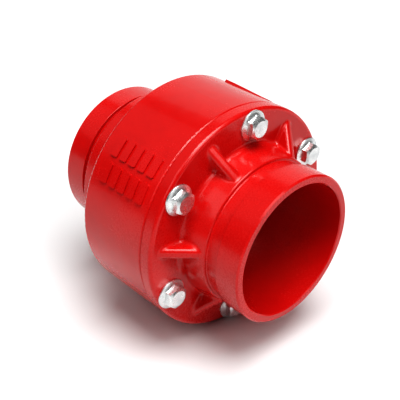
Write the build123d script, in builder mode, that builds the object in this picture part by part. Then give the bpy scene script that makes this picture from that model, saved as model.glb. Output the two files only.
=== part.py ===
from build123d import *
import os
from math import cos, radians, sin

os.makedirs("parts", exist_ok=True)

# Silent check valve with grooved pipe ends, nominal size 80 mm.
# The flow axis is X. The bolted end cap (inlet) is at +X, the drum's neck (outlet) at -X.
# The origin is on the flow axis, halfway between the two end faces.

# ---------------------------------------------------------------- driving dimensions, mm
face_to_face = 147.0
pipe_od = 88.9
bore_diameter = 79.0

land_length = 15.88
groove_width = 8.74
groove_diameter = 84.94

drum_diameter = 136.0
cap_flange_diameter = 136.4
cap_flange_thickness = 8.1
joint_depth = 48.6            # end face of the cap to the joint face
drum_length = 49.3

bolt_count = 6
bolt_circle = 118.0
bolt_clocking = 83.5          # first bolt, as an angle from +Y towards +Z
rib_thickness = 6.0
mark_clocking = 51.8          # the flow panel, as an angle from +Y towards +Z

seat_bore_diameter = 75.0
disc_diameter = 84.0
stem_diameter = 12.0
lift = 18.0
stop_gap = 0.3
running_clearance = 0.06
press_gap = 0.02
seal_gap = 0.05
loose_fit = 0.1

# ---------------------------------------------------------------- stations along X
inlet_face = face_to_face / 2
outlet_face = -inlet_face
joint_face = inlet_face - joint_depth
cap_face = joint_face + cap_flange_thickness
drum_back = joint_face - drum_length
seat_plane = 12.0
seat_front = joint_face - 2.2  # the cap's spigot reaches in to here
seat_shelf = 18.4             # the body's shoulder that the seat ring's flange stands on
disc_back = seat_plane - 8.0
boss_end = disc_back - 3.5
nose_front = boss_end - lift - stop_gap
hub_shoulder = nose_front - 10.0
hub_back = -43.0              # also the shoulder that the spider's ring stands on
spider_ring_front = -33.0

# ---------------------------------------------------------------- radii
pipe_r = pipe_od / 2
bore_r = bore_diameter / 2
groove_r = groove_diameter / 2
drum_r = drum_diameter / 2
cap_flange_r = cap_flange_diameter / 2
bolt_circle_r = bolt_circle / 2
seat_r = seat_bore_diameter / 2
disc_r = disc_diameter / 2
stem_r = stem_diameter / 2
thread_r = 5.0                # stem's front end, in the disc and its nut
throat_r = 46.5               # drum's mouth, which the seat ring's nose stands in
counterbore_r = 49.1          # in the body, for the seat ring's flange and the cap's spigot
spider_seat_r = 44.1
hub_r = 16.0
nose_r = 10.5
bush_r = 8.0
joint_seal_r = 52.0
seat_seal_r = 44.6

# ---------------------------------------------------------------- shared shapes
rim_chamfer = 0.9
bore_chamfer = 0.6
land_edge_round = 0.4
groove_corner_round = 0.7
groove_edge_round = 1.0


def grooved_end(face, inward):
    """Outline of a grooved pipe end, from its inner edge round to the groove's far wall."""
    land_end = face + inward * land_length
    return [
        (face + inward * bore_chamfer, bore_r),
        (face, bore_r + bore_chamfer),
        (face, pipe_r - rim_chamfer),
        (face + inward * rim_chamfer, pipe_r),
        (land_end, pipe_r),
        (land_end, groove_r),
        (land_end + inward * groove_width, groove_r),
    ]


def corner(sketch, x, r):
    """The profile's corner nearest to this station and radius."""
    return sketch.vertices().sort_by_distance(Vector(x, r, 0))[0]


def round_groove(sketch, face, inward, wall_r):
    """Round the land's inner edge, the groove's far corner and the edge above it."""
    land_end = face + inward * land_length
    wall = land_end + inward * groove_width
    fillet(corner(sketch, land_end, pipe_r), land_edge_round)
    fillet(corner(sketch, wall, groove_r), groove_corner_round)
    fillet(corner(sketch, wall, wall_r), groove_edge_round)


def outwards(angle):
    """Direction away from the flow axis at this angle."""
    return Vector(0, cos(radians(angle)), sin(radians(angle)))


def radial_plane(angle, origin=(0, 0, 0)):
    """Plane whose x runs along the flow axis and whose y points outwards at this angle."""
    return Plane(origin=origin, x_dir=(1, 0, 0), z_dir=Vector(1, 0, 0).cross(outwards(angle)))


def tangent_plane(angle, radius):
    """Plane that touches a cylinder of this radius, facing outwards, with x along the flow axis."""
    return Plane(origin=outwards(angle) * radius, x_dir=(1, 0, 0), z_dir=outwards(angle))


def front_edges(part):
    """Circular edges at the part's +X end, smallest first."""
    return part.edges().filter_by(GeomType.CIRCLE).group_by(Axis.X)[-1].sort_by(SortBy.RADIUS)


def export(part, name):
    """Write one piece under its own name."""
    part.label = name
    export_step(part, f"parts/{name}.step")


def ring_seal(name, station, radius, section_r):
    """An O-ring round the flow axis."""
    with BuildPart() as seal:
        with BuildSketch(Plane.XZ):
            with Locations((station, radius)):
                Circle(section_r)
        revolve(axis=Axis.X)
    export(seal.part, name)


bolt_angles = [bolt_clocking + i * 360 / bolt_count for i in range(bolt_count)]
rib_angles = [angle + 180 / bolt_count for angle in bolt_angles]
pad_angles = [mark_clocking + 90, mark_clocking + 270]

# ---------------------------------------------------------------- end cap, the inlet half
cap_hub_tip_r = 44.3
cap_hub_root_r = 47.2
cap_hub_round = 3.0
cap_front_round = 2.2
cap_joint_chamfer = 0.5
clearance_hole_r = 4.5
rib_outer_r = 62.5
rib_tip = 48.2
rib_tip_r = 42.7              # inside the hub, so that the free edge runs into it
rib_overlap = 1.0             # how far the rib's blank stands in the flange
rib_edge_round = 2.2
rib_root_round = 2.6
rib_root_outer_r = 57.5       # every edge of a rib's root lies inside this radius
on_the_face = 0.1


def is_free_rib_edge(edge):
    """The two long sloping edges of a rib."""
    return edge.geom_type == GeomType.LINE and edge.length > rib_tip - cap_face


def is_rib_root(edge):
    """An edge where a rib's side meets the hub or the flange face."""
    centre = edge.center()
    on_flange = abs(centre.X - cap_face) < on_the_face
    on_hub = cap_face + on_the_face < centre.X < rib_tip and edge.geom_type != GeomType.LINE
    is_near = Vector(0, centre.Y, centre.Z).length < rib_root_outer_r
    is_root_length = rib_root_round < edge.length < rib_tip - cap_face - rib_edge_round
    return (on_flange or on_hub) and is_near and is_root_length and edge.geom_type != GeomType.CIRCLE


with BuildPart() as end_cap:
    with BuildSketch(Plane.XZ) as cap_profile:
        with BuildLine():
            Polyline(
                *grooved_end(inlet_face, -1),
                (inlet_face - land_length - groove_width, cap_hub_tip_r),
                (cap_face, cap_hub_root_r),
                (cap_face, cap_flange_r),
                (joint_face + cap_joint_chamfer, cap_flange_r),
                (joint_face, cap_flange_r - cap_joint_chamfer),
                (joint_face, counterbore_r - loose_fit),
                (seat_front, counterbore_r - loose_fit),
                (seat_front, bore_r),
                close=True,
            )
        make_face()
        round_groove(cap_profile, inlet_face, -1, cap_hub_tip_r)
        fillet(corner(cap_profile, cap_face, cap_hub_root_r), cap_hub_round)
        fillet(corner(cap_profile, cap_face, cap_flange_r), cap_front_round)
    revolve(axis=Axis.X)

    with BuildSketch(*[radial_plane(angle) for angle in rib_angles]):
        with BuildLine():
            Polyline(
                (cap_face - rib_overlap, rib_outer_r),
                (cap_face, rib_outer_r),
                (rib_tip, rib_tip_r),
                (cap_face - rib_overlap, rib_tip_r),
                close=True,
            )
        make_face()
    extrude(amount=rib_thickness / 2, both=True)
    fillet(end_cap.edges(Select.LAST).filter_by(is_free_rib_edge), rib_edge_round)
    fillet(end_cap.edges().filter_by(is_rib_root), rib_root_round)

    with BuildSketch(Plane.YZ.offset(cap_face)):
        with PolarLocations(bolt_circle_r, bolt_count, start_angle=bolt_clocking):
            Circle(clearance_hole_r)
    extrude(amount=-cap_flange_thickness, mode=Mode.SUBTRACT)
export(end_cap.part, "end_cap")

# ---------------------------------------------------------------- raised marks on the drum
mark_root_r = drum_r - 2.0    # the marks' blanks start inside the drum's wall
mark_blank_height = 8.0
panel_height = 1.3
panel_front_height = 0.05
panel_station = -1.5          # middle of the flow panel, along the flow axis
panel_length = 33.0
panel_half = 8.6
panel_corner = 3.0
panel_slope_start = -10.0     # ahead of here the panel thins towards the joint
arrow_depth = 1.0
arrow_tail = 8.0
arrow_neck = -4.5
arrow_tip = -14.0
arrow_head_half = 6.0
arrow_shaft_half = 2.4
pad_rise = 1.0
pads_per_row = 5
pad_station = 1.8             # middle of both rows of pads
pad_pitch = 7.4
pad_length = 5.2
pad_height = 12.0
pad_corner = 1.2
pad_row_offset = 6.5          # degrees from the marks' centre line to each row
pad_row_angles = [angle + side * pad_row_offset for angle in pad_angles for side in (-1, 1)]

with BuildPart() as flow_panel:
    with BuildSketch(tangent_plane(mark_clocking, mark_root_r)):
        with Locations((panel_station, 0)):
            RectangleRounded(panel_length, 2 * panel_half, panel_corner)
    extrude(amount=mark_blank_height)
    with BuildSketch(Plane.XZ):
        with BuildLine():
            Polyline(
                (drum_back, 0),
                (drum_back, drum_r + panel_height),
                (panel_slope_start, drum_r + panel_height),
                (joint_face, drum_r + panel_front_height),
                (joint_face, 0),
                close=True,
            )
        make_face()
    revolve(axis=Axis.X, mode=Mode.INTERSECT)
    arrow_floor = drum_r + panel_height - arrow_depth
    with BuildSketch(tangent_plane(mark_clocking, arrow_floor)):
        with BuildLine():
            Polyline(
                (arrow_tail, arrow_shaft_half),
                (arrow_neck, arrow_shaft_half),
                (arrow_neck, arrow_head_half),
                (arrow_tip, 0),
                (arrow_neck, -arrow_head_half),
                (arrow_neck, -arrow_shaft_half),
                (arrow_tail, -arrow_shaft_half),
                close=True,
            )
        make_face()
    extrude(amount=panel_height, mode=Mode.SUBTRACT)

with BuildPart() as pad_rows:
    with BuildSketch(*[tangent_plane(angle, mark_root_r) for angle in pad_row_angles]):
        with Locations((pad_station, 0)):
            with GridLocations(pad_pitch, 0, pads_per_row, 1):
                RectangleRounded(pad_length, pad_height, pad_corner)
    extrude(amount=mark_blank_height)
    with BuildSketch(Plane.YZ.offset(drum_back)):
        Circle(drum_r + pad_rise)
    extrude(amount=drum_length, mode=Mode.INTERSECT)

# ---------------------------------------------------------------- main body, the drum and its neck
neck_tip_r = 50.2
neck_root_r = 51.4
neck_end = drum_back - 5.0    # where the neck starts to flare into the drum
neck_round = 4.0
drum_back_round = 1.5
drum_front_round = 1.3
cavity_r = 59.5
throat_end = -1.0
cavity_front = -9.0
cavity_back = -15.0
cavity_front_round = 4.0
cavity_back_round = 8.0
joint_groove_depth = 2.4
joint_groove_inner_r = joint_seal_r - 1.5
joint_groove_outer_r = joint_seal_r + 1.5
tapped_hole_r = 4.0
tapped_hole_depth = 17.5

with BuildPart() as main_body:
    with BuildSketch(Plane.XZ) as body_profile:
        with BuildLine():
            Polyline(
                *grooved_end(outlet_face, 1),
                (outlet_face + land_length + groove_width, neck_tip_r),
                (neck_end, neck_root_r),
                (drum_back, drum_r),
                (joint_face, drum_r),
                (joint_face, joint_groove_outer_r),
                (joint_face - joint_groove_depth, joint_groove_outer_r),
                (joint_face - joint_groove_depth, joint_groove_inner_r),
                (joint_face, joint_groove_inner_r),
                (joint_face, counterbore_r),
                (seat_shelf, counterbore_r),
                (seat_shelf, throat_r),
                (throat_end, throat_r),
                (cavity_front, cavity_r),
                (cavity_back, cavity_r),
                (spider_ring_front, spider_seat_r),
                (hub_back, spider_seat_r),
                (hub_back, bore_r),
                close=True,
            )
        make_face()
        round_groove(body_profile, outlet_face, 1, neck_tip_r)
        fillet(corner(body_profile, neck_end, neck_root_r), neck_round)
        fillet(corner(body_profile, drum_back, drum_r), drum_back_round)
        fillet(corner(body_profile, joint_face, drum_r), drum_front_round)
        fillet(corner(body_profile, cavity_back, cavity_r), cavity_back_round)
        fillet(corner(body_profile, cavity_front, cavity_r), cavity_front_round)
    revolve(axis=Axis.X)
    add(flow_panel.part)
    add(pad_rows.part)
    with BuildSketch(Plane.YZ.offset(joint_face)):
        with PolarLocations(bolt_circle_r, bolt_count, start_angle=bolt_clocking):
            Circle(tapped_hole_r)
    extrude(amount=-tapped_hole_depth, mode=Mode.SUBTRACT)
export(main_body.part, "main_body")

ring_seal(
    "joint_seal",
    joint_face - joint_groove_depth / 2,
    joint_seal_r,
    joint_groove_depth / 2 - press_gap,
)

# ---------------------------------------------------------------- seat ring, held between cap and body
seat_groove_depth = 2.2
seat_groove_inner_r = seat_seal_r - 1.6
seat_groove_outer_r = seat_seal_r + 1.6
seat_flange_r = counterbore_r - loose_fit
seat_nose_r = throat_r - 2 * loose_fit
seat_nose_end = seat_plane + 3.0
seat_lip_root_r = seat_r + 5.5
seat_lip_r = seat_r + 2.2     # outside of the narrow lip that the disc's seal closes on
seat_entry = seat_front - 5.0
seat_entry_round = 3.0

with BuildPart() as seat_ring:
    with BuildSketch(Plane.XZ) as seat_profile:
        with BuildLine():
            Polyline(
                (seat_front, bore_r),
                (seat_front, seat_groove_inner_r),
                (seat_front - seat_groove_depth, seat_groove_inner_r),
                (seat_front - seat_groove_depth, seat_groove_outer_r),
                (seat_front, seat_groove_outer_r),
                (seat_front, seat_flange_r),
                (seat_shelf, seat_flange_r),
                (seat_shelf, seat_nose_r),
                (seat_nose_end, seat_nose_r),
                (seat_nose_end, seat_lip_root_r),
                (seat_plane, seat_lip_r),
                (seat_plane, seat_r),
                (seat_entry, seat_r),
                close=True,
            )
        make_face()
        fillet(corner(seat_profile, seat_entry, seat_r), seat_entry_round)
    revolve(axis=Axis.X)
export(seat_ring.part, "seat_ring")

ring_seal(
    "seat_ring_seal",
    seat_front - seat_groove_depth / 2,
    seat_seal_r,
    seat_groove_depth / 2 - press_gap,
)

# ---------------------------------------------------------------- guide spider, in the drum's neck
bush_length = 10.0
bush_stop = 1.0               # step between the bushes' seats and the hole between them
hub_drum_length = 8.0
hub_tail_r = 11.5
hub_tail_round = 2.0
hub_shoulder_round = 1.0
nose_chamfer = 0.6
spider_ring_r = spider_seat_r - loose_fit
spider_ring_inner_r = bore_r + 0.6
spider_ring_chamfer = 1.0
vane_count = 4
vane_thickness = 5.0
vane_inner_r = bush_r + 1.5
vane_outer_r = spider_ring_inner_r + 1.0

with BuildPart() as guide_spider:
    with BuildSketch(Plane.XZ) as hub_profile:
        with BuildLine():
            Polyline(
                (nose_front, bush_r),
                (nose_front, nose_r),
                (hub_shoulder, nose_r),
                (hub_shoulder, hub_r),
                (hub_shoulder - hub_drum_length, hub_r),
                (hub_back, hub_tail_r),
                (hub_back, bush_r),
                (hub_back + bush_length, bush_r),
                (hub_back + bush_length, bush_r - bush_stop),
                (nose_front - bush_length, bush_r - bush_stop),
                (nose_front - bush_length, bush_r),
                close=True,
            )
        make_face()
        fillet(corner(hub_profile, hub_back, hub_tail_r), hub_tail_round)
        fillet(corner(hub_profile, hub_shoulder, hub_r), hub_shoulder_round)
        chamfer(corner(hub_profile, nose_front, nose_r), nose_chamfer)
        with BuildLine():
            Polyline(
                (hub_back, spider_ring_inner_r),
                (hub_back, spider_ring_r),
                (spider_ring_front, spider_ring_r),
                (spider_ring_front, spider_ring_inner_r + spider_ring_chamfer),
                (spider_ring_front - spider_ring_chamfer, spider_ring_inner_r),
                close=True,
            )
        make_face()
    revolve(axis=Axis.X)

    with BuildSketch(*[radial_plane(i * 360 / vane_count) for i in range(vane_count)]):
        with BuildLine():
            Polyline(
                (hub_back + 2.0, vane_inner_r),
                (hub_back + 0.5, vane_outer_r),
                (spider_ring_front - 1.5, vane_outer_r),
                (hub_shoulder - 2.0, vane_inner_r),
                close=True,
            )
        make_face()
    extrude(amount=vane_thickness / 2, both=True)
export(guide_spider.part, "guide_spider")

# ---------------------------------------------------------------- guide bushes, pressed into the hub
bush_entry_chamfer = 0.4
bush_fronts = {"front_bush": nose_front, "rear_bush": hub_back + bush_length}

for bush_name, front in bush_fronts.items():
    with BuildPart() as bush:
        with BuildSketch(Plane.YZ.offset(front)):
            Circle(bush_r - press_gap)
            Circle(stem_r + running_clearance, mode=Mode.SUBTRACT)
        extrude(amount=-bush_length)
        chamfer(front_edges(bush)[0], bush_entry_chamfer)
    export(bush.part, bush_name)

# ---------------------------------------------------------------- spring and its seat washer
washer_thickness = 1.5
wire_r = 0.9
spring_r = 12.6
spring_turns = 5
spring_back = hub_shoulder + washer_thickness + seal_gap
spring_front = disc_back - seal_gap
spring_length = spring_front - spring_back
spring_pitch = spring_length / spring_turns

with BuildPart() as spring_washer:
    with BuildSketch(Plane.YZ.offset(hub_shoulder)):
        Circle(hub_r - 0.6)
        Circle(nose_r + 0.2, mode=Mode.SUBTRACT)
    extrude(amount=washer_thickness)
export(spring_washer.part, "spring_washer")

with BuildPart() as spring:
    with BuildLine() as coil:
        Helix(
            pitch=spring_pitch,
            height=spring_length + spring_pitch / 2,
            radius=spring_r,
            center=(spring_back - spring_pitch / 4, 0, 0),
            direction=(1, 0, 0),
        )
    with BuildSketch(Plane(origin=coil.line @ 0, z_dir=coil.line % 0)):
        Circle(wire_r)
    sweep(path=coil.line, is_frenet=True)
    split(bisect_by=Plane.YZ.offset(spring_back), keep=Keep.TOP)
    split(bisect_by=Plane.YZ.offset(spring_front), keep=Keep.BOTTOM)
export(spring.part, "spring")

# ---------------------------------------------------------------- disc, its seal and their fasteners
disc_front = seat_plane - seal_gap
disc_lip = 1.5                # how far the disc's edge stands back from its seal's face
disc_back_r = disc_r - 8.0
disc_edge = disc_back + 2.0
boss_r = nose_r + 0.3
seal_inner_r = 33.0
seal_outer_r = disc_r - disc_lip
seal_thickness = 4.0
seal_chamfer = 1.0
plate_r = seat_r - 1.0
plate_thickness = 2.5
plate_chamfer = 0.8
plate_front = disc_front + plate_thickness
nut_washer_r = 10.0
nut_washer_thickness = 1.6
nut_width = 16.0              # across flats
nut_height = 5.2
nut_corner_r = 9.6            # outside the hexagon's corners
nut_crown_r = 7.4
nut_crown_height = 1.3
nut_back = plate_front + nut_washer_thickness
nut_front = nut_back + nut_height
stem_hole_r = thread_r + press_gap

with BuildPart() as disc:
    with BuildSketch(Plane.XZ):
        with BuildLine():
            Polyline(
                (boss_end, stem_hole_r),
                (boss_end, boss_r),
                (disc_back, boss_r),
                (disc_back, disc_back_r),
                (disc_edge, disc_r),
                (disc_front - disc_lip, disc_r),
                (disc_front - disc_lip, seal_outer_r + press_gap),
                (disc_front - seal_thickness, seal_outer_r + press_gap),
                (disc_front - seal_thickness, seal_inner_r - press_gap),
                (disc_front, seal_inner_r - press_gap),
                (disc_front, stem_hole_r),
                close=True,
            )
        make_face()
    revolve(axis=Axis.X)
export(disc.part, "disc")

with BuildPart() as disc_seal:
    with BuildSketch(Plane.YZ.offset(disc_front)):
        Circle(seal_outer_r)
        Circle(seal_inner_r, mode=Mode.SUBTRACT)
    extrude(amount=-seal_thickness)
    chamfer(front_edges(disc_seal)[-1], seal_chamfer)
export(disc_seal.part, "disc_seal")

with BuildPart() as seal_plate:
    with BuildSketch(Plane.YZ.offset(disc_front)):
        Circle(plate_r)
        Circle(stem_hole_r, mode=Mode.SUBTRACT)
    extrude(amount=plate_thickness)
    chamfer(front_edges(seal_plate)[-1], plate_chamfer)
export(seal_plate.part, "seal_plate")

with BuildPart() as nut_washer:
    with BuildSketch(Plane.YZ.offset(plate_front)):
        Circle(nut_washer_r)
        Circle(stem_hole_r, mode=Mode.SUBTRACT)
    extrude(amount=nut_washer_thickness)
export(nut_washer.part, "nut_washer")

with BuildPart() as stem_nut:
    with BuildSketch(Plane.YZ.offset(nut_back)):
        RegularPolygon(nut_width / 2, 6, major_radius=False)
        Circle(stem_hole_r, mode=Mode.SUBTRACT)
    extrude(amount=nut_height)
    with BuildSketch(Plane.XZ):
        with BuildLine():
            Polyline(
                (nut_back, 0),
                (nut_back, nut_corner_r),
                (nut_front - nut_crown_height, nut_corner_r),
                (nut_front, nut_crown_r),
                (nut_front, 0),
                close=True,
            )
        make_face()
    revolve(axis=Axis.X, mode=Mode.INTERSECT)
export(stem_nut.part, "stem_nut")

# ---------------------------------------------------------------- stem, from the nut back through the hub
stem_front = nut_front + 0.9
stem_back = hub_back
stem_chamfer = 0.9
stem_round = 1.5

with BuildPart() as stem:
    with BuildSketch(Plane.XZ) as stem_profile:
        with BuildLine():
            Polyline(
                (stem_front, 0),
                (stem_front, thread_r),
                (boss_end, thread_r),
                (boss_end, stem_r),
                (stem_back, stem_r),
                (stem_back, 0),
                close=True,
            )
        make_face()
        chamfer(corner(stem_profile, stem_front, thread_r), stem_chamfer)
        fillet(corner(stem_profile, stem_back, stem_r), stem_round)
    revolve(axis=Axis.X)
export(stem.part, "stem")

# ---------------------------------------------------------------- flange bolts
bolt_width = 12.0             # across flats
bolt_head_height = 6.5
bolt_corner_r = 7.2           # outside the hexagon's corners
bolt_crown_r = 4.8
bolt_crown_height = 1.35
bolt_edge_round = 0.35
bolt_flange_r = 8.95
bolt_flange_thickness = 0.9
bolt_flange_round = 0.3
bolt_cone_r = 6.2
bolt_cone_top = 2.0
bolt_cone_sag = 0.15
bolt_shank_r = 3.9
bolt_shank_chamfer = 0.8
bolt_length = 25.0
wrench_angles = [21, 23, 19, 31, 50, 24]    # how far each hexagon happens to be turned

for i in range(bolt_count):
    head_place = outwards(bolt_angles[i]) * bolt_circle_r + Vector(cap_face, 0, 0)
    seat = Plane(origin=head_place, x_dir=outwards(wrench_angles[i]), z_dir=(1, 0, 0))
    section = radial_plane(bolt_angles[i], head_place)
    bolt_axis = Axis(head_place, (1, 0, 0))
    with BuildPart() as bolt:
        with BuildSketch(seat) as hexagon:
            RegularPolygon(bolt_width / 2, 6, major_radius=False)
            fillet(hexagon.vertices(), bolt_edge_round)
        extrude(amount=bolt_head_height)
        with BuildSketch(section):
            with BuildLine():
                Polyline(
                    (0, 0),
                    (0, bolt_corner_r),
                    (bolt_head_height - bolt_crown_height, bolt_corner_r),
                    (bolt_head_height, bolt_crown_r),
                    (bolt_head_height, 0),
                    close=True,
                )
            make_face()
        revolve(axis=bolt_axis, mode=Mode.INTERSECT)
        with BuildSketch(section) as shank_profile:
            with BuildLine():
                Polyline(
                    (bolt_flange_thickness, bolt_flange_r),
                    (0, bolt_flange_r),
                    (0, bolt_shank_r),
                    (-bolt_length + bolt_shank_chamfer, bolt_shank_r),
                    (-bolt_length, bolt_shank_r - bolt_shank_chamfer),
                    (-bolt_length, 0),
                    (bolt_cone_top, 0),
                    (bolt_cone_top, bolt_cone_r),
                )
                SagittaArc(
                    (bolt_cone_top, bolt_cone_r),
                    (bolt_flange_thickness, bolt_flange_r),
                    bolt_cone_sag,
                )
            make_face()
            fillet(corner(shank_profile, bolt_flange_thickness, bolt_flange_r), bolt_flange_round)
        revolve(axis=bolt_axis)
    export(bolt.part, f"flange_bolt_{i + 1}")
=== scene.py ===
import math

import bmesh
import bpy
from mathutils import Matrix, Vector


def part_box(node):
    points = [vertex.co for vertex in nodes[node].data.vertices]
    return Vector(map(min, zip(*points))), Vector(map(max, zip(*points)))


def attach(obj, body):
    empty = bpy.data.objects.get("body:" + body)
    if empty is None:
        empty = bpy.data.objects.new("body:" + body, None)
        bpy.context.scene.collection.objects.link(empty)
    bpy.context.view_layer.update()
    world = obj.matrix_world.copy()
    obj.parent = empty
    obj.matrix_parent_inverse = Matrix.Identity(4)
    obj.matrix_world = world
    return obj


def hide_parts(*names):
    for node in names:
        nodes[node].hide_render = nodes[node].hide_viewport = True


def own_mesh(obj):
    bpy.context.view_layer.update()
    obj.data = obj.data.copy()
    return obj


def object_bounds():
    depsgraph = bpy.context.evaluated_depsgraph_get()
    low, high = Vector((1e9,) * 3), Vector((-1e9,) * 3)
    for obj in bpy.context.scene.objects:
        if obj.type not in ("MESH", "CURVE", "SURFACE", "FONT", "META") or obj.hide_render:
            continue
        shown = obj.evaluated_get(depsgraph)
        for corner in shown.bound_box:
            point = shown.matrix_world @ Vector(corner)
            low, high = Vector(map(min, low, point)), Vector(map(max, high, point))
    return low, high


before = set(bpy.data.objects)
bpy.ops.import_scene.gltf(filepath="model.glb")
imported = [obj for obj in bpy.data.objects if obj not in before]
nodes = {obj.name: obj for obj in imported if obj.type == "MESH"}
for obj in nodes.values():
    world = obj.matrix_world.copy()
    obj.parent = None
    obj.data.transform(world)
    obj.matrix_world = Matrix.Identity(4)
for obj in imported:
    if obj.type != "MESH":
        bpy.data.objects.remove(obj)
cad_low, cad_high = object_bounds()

STUDIO_LOOK = "High Contrast"
STUDIO_EXPOSURE = -0.3        # stops
scene = bpy.context.scene


# ---------------------------------------------------------------- small helpers
class Graph:
    """A material's node tree, with the few calls that the finishes below need."""

    # A Mix node has sockets for every data type; these are the colour ones.
    MIX_COLOR_A = 6
    MIX_COLOR_B = 7
    MIX_COLOR_RESULT = 2

    def __init__(self, name):
        self.material = bpy.data.materials.new(name)
        self.material.use_nodes = True
        self.tree = self.material.node_tree
        self.shader = self.tree.nodes["Principled BSDF"]
        self.place = self.add("ShaderNodeTexCoord").outputs["Object"]

    def add(self, kind, **settings):
        node = self.tree.nodes.new(kind)
        for key, value in settings.items():
            setattr(node, key, value)
        return node

    def join(self, source, target):
        self.tree.links.new(source, target)

    def feed(self, socket, value):
        """Link an output to a socket, or set a plain value on it."""
        if isinstance(value, bpy.types.NodeSocket):
            self.join(value, socket)
        else:
            socket.default_value = value

    def set(self, **values):
        """Set or feed the shader's own sockets, named with _ for each space."""
        for key, value in values.items():
            self.feed(self.shader.inputs[key.replace("_", " ")], value)

    def shifted(self, offset):
        """Object coordinates moved by an offset, so that alike pieces don't share one pattern."""
        node = self.add("ShaderNodeMapping")
        self.join(self.place, node.inputs["Vector"])
        node.inputs["Location"].default_value = offset
        return node.outputs["Vector"]

    def noise(self, scale, detail, rough, vector=None):
        """Noise with about this many features per metre."""
        node = self.add("ShaderNodeTexNoise")
        self.join(vector or self.place, node.inputs["Vector"])
        node.inputs["Scale"].default_value = scale
        node.inputs["Detail"].default_value = detail
        node.inputs["Roughness"].default_value = rough
        return node.outputs["Fac"]

    def math(self, operation, a, b=0.0):
        node = self.add("ShaderNodeMath", operation=operation)
        self.feed(node.inputs[0], a)
        self.feed(node.inputs[1], b)
        return node.outputs[0]

    def spread(self, value, low, high, to_low=0.0, to_high=1.0):
        """Map low..high to to_low..to_high, clamped."""
        node = self.add("ShaderNodeMapRange")
        self.feed(node.inputs["Value"], value)
        node.inputs["From Min"].default_value = low
        node.inputs["From Max"].default_value = high
        node.inputs["To Min"].default_value = to_low
        node.inputs["To Max"].default_value = to_high
        return node.outputs["Result"]

    def blend(self, share, a, b):
        """Mix of two colours, each an output or a plain (red, green, blue)."""
        node = self.add("ShaderNodeMix", data_type="RGBA")
        self.feed(node.inputs["Factor"], share)
        for index, color in ((self.MIX_COLOR_A, a), (self.MIX_COLOR_B, b)):
            linked = isinstance(color, bpy.types.NodeSocket)
            self.feed(node.inputs[index], color if linked else (*color, 1.0))
        return node.outputs[self.MIX_COLOR_RESULT]

    def axis_parts(self):
        """Station along the flow axis and radius from it, in metres."""
        split = self.add("ShaderNodeSeparateXYZ")
        self.join(self.place, split.inputs[0])
        flat = self.add("ShaderNodeCombineXYZ")
        self.join(split.outputs["Y"], flat.inputs["Y"])
        self.join(split.outputs["Z"], flat.inputs["Z"])
        length = self.add("ShaderNodeVectorMath", operation="LENGTH")
        self.join(flat.outputs[0], length.inputs[0])
        return split.outputs["X"], length.outputs["Value"]

    def bump(self, *layers):
        """Stack bumps, each a (height, distance in metres), and feed the shader's normal."""
        normal = None
        for height, distance in layers:
            node = self.add("ShaderNodeBump")
            node.inputs["Distance"].default_value = distance
            self.join(height, node.inputs["Height"])
            if normal is not None:
                self.join(normal, node.inputs["Normal"])
            normal = node.outputs["Normal"]
        self.set(Normal=normal)


def paint(node_names, material):
    """Give these CAD nodes this material in every slot."""
    for name in node_names:
        data = nodes[name].data
        data.materials.clear()
        data.materials.append(material)


def mesh_data(name, mesh, material):
    """Turn a finished bmesh into mesh data with one material."""
    data = bpy.data.meshes.new(name)
    mesh.to_mesh(data)
    mesh.free()
    data.materials.append(material)
    return data


# ---------------------------------------------------------------- finishes
def red_epoxy(name, seed):
    """Glossy red epoxy coat over sand-cast iron: slow waves, cast grain, orange peel and nibs."""
    deep, bright = (0.53, 0.0065, 0.0060), (0.60, 0.0090, 0.0080)
    blotch, nib = (0.44, 0.0050, 0.0048), (0.66, 0.02, 0.018)
    g = Graph(name)
    spot = g.shifted((seed, seed * 0.7, -seed))
    waves = g.noise(22.0, 3.0, 0.5, spot)
    mottle = g.noise(160.0, 4.0, 0.6, spot)
    cast = g.noise(330.0, 3.0, 0.55, spot)
    peel = g.noise(900.0, 2.0, 0.5, spot)
    nibs = g.spread(g.noise(620.0, 1.0, 0.4, spot), 0.70, 0.78)
    tone = g.blend(g.spread(waves, 0.3, 0.7), deep, bright)
    tone = g.blend(g.spread(mottle, 0.45, 0.8, 0.0, 0.3), tone, blotch)
    tone = g.blend(g.math("MULTIPLY", nibs, 0.2), tone, nib)
    uneven = g.spread(waves, 0.3, 0.7, 0.22, 0.29)
    g.set(Base_Color=tone, Roughness=g.math("ADD", uneven, g.spread(peel, 0.3, 0.7, -0.02, 0.03)))
    g.set(Specular_IOR_Level=0.36, Coat_Weight=0.25, Coat_Roughness=0.08, Coat_IOR=1.5)
    g.bump((waves, 0.0007), (cast, 0.00003), (peel, 0.000008), (nibs, 0.00002))
    return g.material


def zinc(name, seed):
    """Bright zinc plate on forged steel, with a trace of grain and handling marks."""
    bright, dull, mark = (0.82, 0.83, 0.82), (0.62, 0.64, 0.65), (0.42, 0.41, 0.37)
    g = Graph(name)
    spot = g.shifted((seed, -seed, seed * 0.3))
    cloud = g.noise(190.0, 4.0, 0.6, spot)
    grain = g.noise(1500.0, 2.0, 0.5, spot)
    tone = g.blend(g.spread(cloud, 0.35, 0.7), bright, dull)
    tone = g.blend(g.spread(cloud, 0.62, 0.78, 0.0, 0.6), tone, mark)
    uneven = g.spread(cloud, 0.3, 0.7, 0.23, 0.34)
    g.set(Base_Color=tone, Roughness=g.math("ADD", uneven, g.spread(grain, 0.3, 0.7, -0.04, 0.06)))
    g.set(Metallic=0.92)
    g.bump((cloud, 0.00012), (grain, 0.000015))
    return g.material


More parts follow.
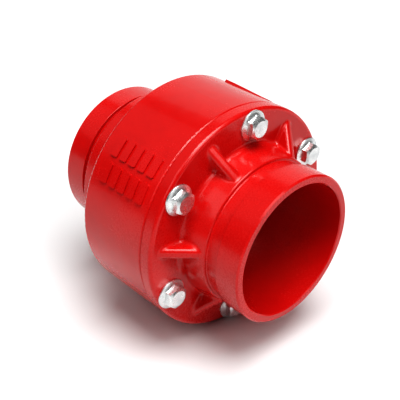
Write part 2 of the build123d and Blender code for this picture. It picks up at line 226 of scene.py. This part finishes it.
def turned(name, light, dark, rough, pitch):
    """Metal turned on a lathe about the flow axis: tool rings this far apart, with fainter ones between."""
    slant = 0.83              # share of the station in the rings' run, so that bores get rings too
    fine_ratio = 2.63         # faint rings to each tool ring
    wobble = 1.2              # radians by which a ring wanders
    g = Graph(name)
    station, radius = g.axis_parts()
    wander = g.noise(60.0, 2.0, 0.5)
    run = g.math("ADD", radius, g.math("MULTIPLY", station, slant))
    phase = g.math("MULTIPLY", run, 2 * math.pi / pitch)
    rings = g.math("SINE", g.math("ADD", phase, g.math("MULTIPLY", wander, wobble)))
    fine = g.math("SINE", g.math("MULTIPLY", phase, fine_ratio))
    grain = g.noise(1200.0, 2.0, 0.5)
    cloud = g.noise(70.0, 4.0, 0.6)
    tone = g.blend(g.spread(cloud, 0.3, 0.75), light, dark)
    tone = g.blend(g.spread(rings, -1.0, 1.0, 0.0, 0.18), tone, dark)
    uneven = g.spread(cloud, 0.3, 0.7, rough - 0.05, rough + 0.06)
    g.set(Base_Color=tone, Roughness=g.math("ADD", uneven, g.spread(grain, 0.3, 0.7, -0.03, 0.05)))
    g.set(Metallic=1.0)
    g.bump((rings, 0.000012), (fine, 0.000006), (grain, 0.000008))
    return g.material


def rubber(name):
    """Black moulded rubber with a faint bloom."""
    black, bloom = (0.018, 0.018, 0.019), (0.050, 0.049, 0.047)
    g = Graph(name)
    cloud = g.noise(90.0, 4.0, 0.65)
    grain = g.noise(1600.0, 2.0, 0.6)
    g.set(Base_Color=g.blend(g.spread(cloud, 0.4, 0.75), black, bloom))
    g.set(Roughness=g.spread(cloud, 0.3, 0.7, 0.50, 0.68), Specular_IOR_Level=0.4)
    g.bump((grain, 0.00003), (cloud, 0.0001))
    return g.material


def matte_white(name):
    """Pale studio floor with a barely uneven tone."""
    g = Graph(name)
    soft = g.noise(6.0, 3.0, 0.5)
    g.set(Base_Color=g.blend(soft, (0.72, 0.72, 0.72), (0.76, 0.76, 0.76)))
    g.set(Roughness=g.spread(soft, 0.3, 0.7, 0.75, 0.85), Specular_IOR_Level=0.1)
    return g.material


paint(["main_body"], red_epoxy("red_epoxy_body", 0.0))
paint(["end_cap"], red_epoxy("red_epoxy_cap", 3.1))
paint(["guide_spider"], red_epoxy("red_epoxy_spider", 7.7))
bolts = sorted(name for name in nodes if name.startswith("flange_bolt_"))
for number, name in enumerate(bolts):
    paint([name], zinc(f"zinc_{number + 1}", 1.3 * number + 0.4))
steel = turned("turned_stainless", (0.66, 0.66, 0.65), (0.50, 0.50, 0.49), 0.24, 0.0007)
bronze = turned("turned_bronze", (0.74, 0.50, 0.25), (0.52, 0.32, 0.14), 0.27, 0.0006)
paint(["disc", "seal_plate", "nut_washer", "stem_nut", "stem", "spring_washer"], steel)
paint(["seat_ring", "front_bush", "rear_bush"], bronze)
paint(["disc_seal", "joint_seal", "seat_ring_seal"], rubber("black_rubber"))


# ---------------------------------------------------------------- spring with closed, ground ends
spring_low, spring_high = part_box("spring")


def spring_wire():
    """Round wire wound with a closed coil at each end, both ends ground flat."""
    wire_r = 0.0009
    coil_r = spring_high.y - wire_r
    turns = 5.5
    closed_turns = 0.9        # at each end
    steps_per_turn = 64
    sides = 16
    closed_pitch = 1.8 * wire_r
    ground = 0.35 * wire_r    # taken off the wire at each end
    length = spring_high.x - spring_low.x - 2 * wire_r
    open_pitch = (length - 2 * closed_turns * closed_pitch) / (turns - 2 * closed_turns)
    mesh = bmesh.new()

    def station(turn):
        """How far the wire's centre has come along the axis after this many turns."""
        if turn < closed_turns:
            return turn * closed_pitch
        if turn < turns - closed_turns:
            return closed_turns * closed_pitch + (turn - closed_turns) * open_pitch
        return length - (turns - turn) * closed_pitch

    def ring(turn):
        """The wire's round section at this turn, cut back to the ground ends."""
        angle = 2 * math.pi * turn
        out = Vector((0, math.cos(angle), math.sin(angle)))
        centre = Vector((spring_low.x + wire_r + station(turn), 0, 0)) + out * coil_r
        made = []
        for k in range(sides):
            around = 2 * math.pi * k / sides
            point = centre + out * (wire_r * math.cos(around)) + Vector((wire_r * math.sin(around), 0, 0))
            point.x = min(max(point.x, spring_low.x + ground), spring_high.x - ground)
            made.append(mesh.verts.new(point))
        return made

    rings = [ring(i / steps_per_turn) for i in range(int(turns * steps_per_turn) + 1)]
    for a, b in zip(rings, rings[1:]):
        for k in range(sides):
            after = (k + 1) % sides
            face = mesh.faces.new((a[k], a[after], b[after], b[k]))
            face.smooth = True
    mesh.faces.new(rings[0])
    mesh.faces.new(list(reversed(rings[-1])))
    bmesh.ops.recalc_face_normals(mesh, faces=mesh.faces)
    return mesh


spring = bpy.data.objects.new("wound_spring", mesh_data("wound_spring", spring_wire(), steel))
scene.collection.objects.link(spring)
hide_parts("spring")
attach(spring, "housing")
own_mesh(spring)


# ---------------------------------------------------------------- floor, light and camera
def floor():
    """A wide plain floor just under the lowest point of the object."""
    half_width = 6.0
    gap = 0.0002
    mesh = bmesh.new()
    bmesh.ops.create_grid(mesh, x_segments=4, y_segments=4, size=half_width)
    made = bpy.data.objects.new("floor", mesh_data("floor", mesh, matte_white("pale_floor")))
    made.location = (0, 0, cad_low.z - gap)
    scene.collection.objects.link(made)


def lamp(name, light, azimuth, elevation, distance):
    """Place a light so that it faces the object. Azimuth is from +X towards +Y."""
    turn, lift = math.radians(azimuth), math.radians(elevation)
    out = Vector((math.cos(lift) * math.cos(turn), math.cos(lift) * math.sin(turn), math.sin(lift)))
    made = bpy.data.objects.new(name, light)
    made.location = out * distance
    made.rotation_euler = (-out).to_track_quat("-Z", "Y").to_euler()
    scene.collection.objects.link(made)


def softbox(name, azimuth, elevation, distance, size, glow):
    """A square area light of this radiance."""
    light = bpy.data.lights.new(name, "AREA")
    light.shape = "RECTANGLE"
    light.size = light.size_y = size
    light.energy = math.pi * size**2 * glow
    lamp(name, light, azimuth, elevation, distance)


def ceiling(name, azimuth, elevation, distance, spread, irradiance):
    """A wide, even overhead light that reaches the whole floor alike."""
    light = bpy.data.lights.new(name, "SUN")
    light.angle = math.radians(spread)
    light.energy = irradiance
    lamp(name, light, azimuth, elevation, distance)


def room():
    """A world that is white to the eye, and dim in reflections and as light."""
    world = bpy.data.worlds.new("studio")
    world.use_nodes = True
    tree = world.node_tree
    dim = tree.nodes["Background"]
    dim.inputs["Color"].default_value = (1, 1, 1, 1)
    dim.inputs["Strength"].default_value = 0.04
    backdrop = tree.nodes.new("ShaderNodeBackground")
    path = tree.nodes.new("ShaderNodeLightPath")
    either = tree.nodes.new("ShaderNodeMixShader")
    tree.links.new(path.outputs["Is Camera Ray"], either.inputs[0])
    tree.links.new(dim.outputs[0], either.inputs[1])
    tree.links.new(backdrop.outputs[0], either.inputs[2])
    tree.links.new(either.outputs[0], tree.nodes["World Output"].inputs["Surface"])
    scene.world = world


def studio():
    """The room, an even ceiling light and four softboxes."""
    room()
    ceiling("ceiling_light", azimuth=0, elevation=80, distance=1.2, spread=36, irradiance=2.85)
    softbox("right_box", azimuth=0, elevation=48, distance=1.2, size=0.75, glow=3.0)
    softbox("left_box", azimuth=270, elevation=45, distance=1.2, size=0.75, glow=1.7)
    softbox("back_box", azimuth=135, elevation=24, distance=1.3, size=1.1, glow=0.75)
    softbox("rear_box", azimuth=205, elevation=45, distance=1.2, size=0.9, glow=0.35)
    scene.view_settings.view_transform = "Standard"
    scene.view_settings.look = STUDIO_LOOK
    scene.view_settings.exposure = STUDIO_EXPOSURE


def camera():
    """A long lens from the inlet end, a little above."""
    place = (0.30194, -0.28565, 0.27243)
    backward = Vector((0.60687, -0.57231, 0.55150))
    data = bpy.data.cameras.new("camera")
    data.sensor_width = 36.0
    data.lens = 75.06
    data.clip_start = 0.01
    eye = bpy.data.objects.new("camera", data)
    eye.location = place
    eye.rotation_euler = (-backward).to_track_quat("-Z", "Y").to_euler()
    scene.collection.objects.link(eye)
    scene.camera = eye


floor()
studio()
camera()
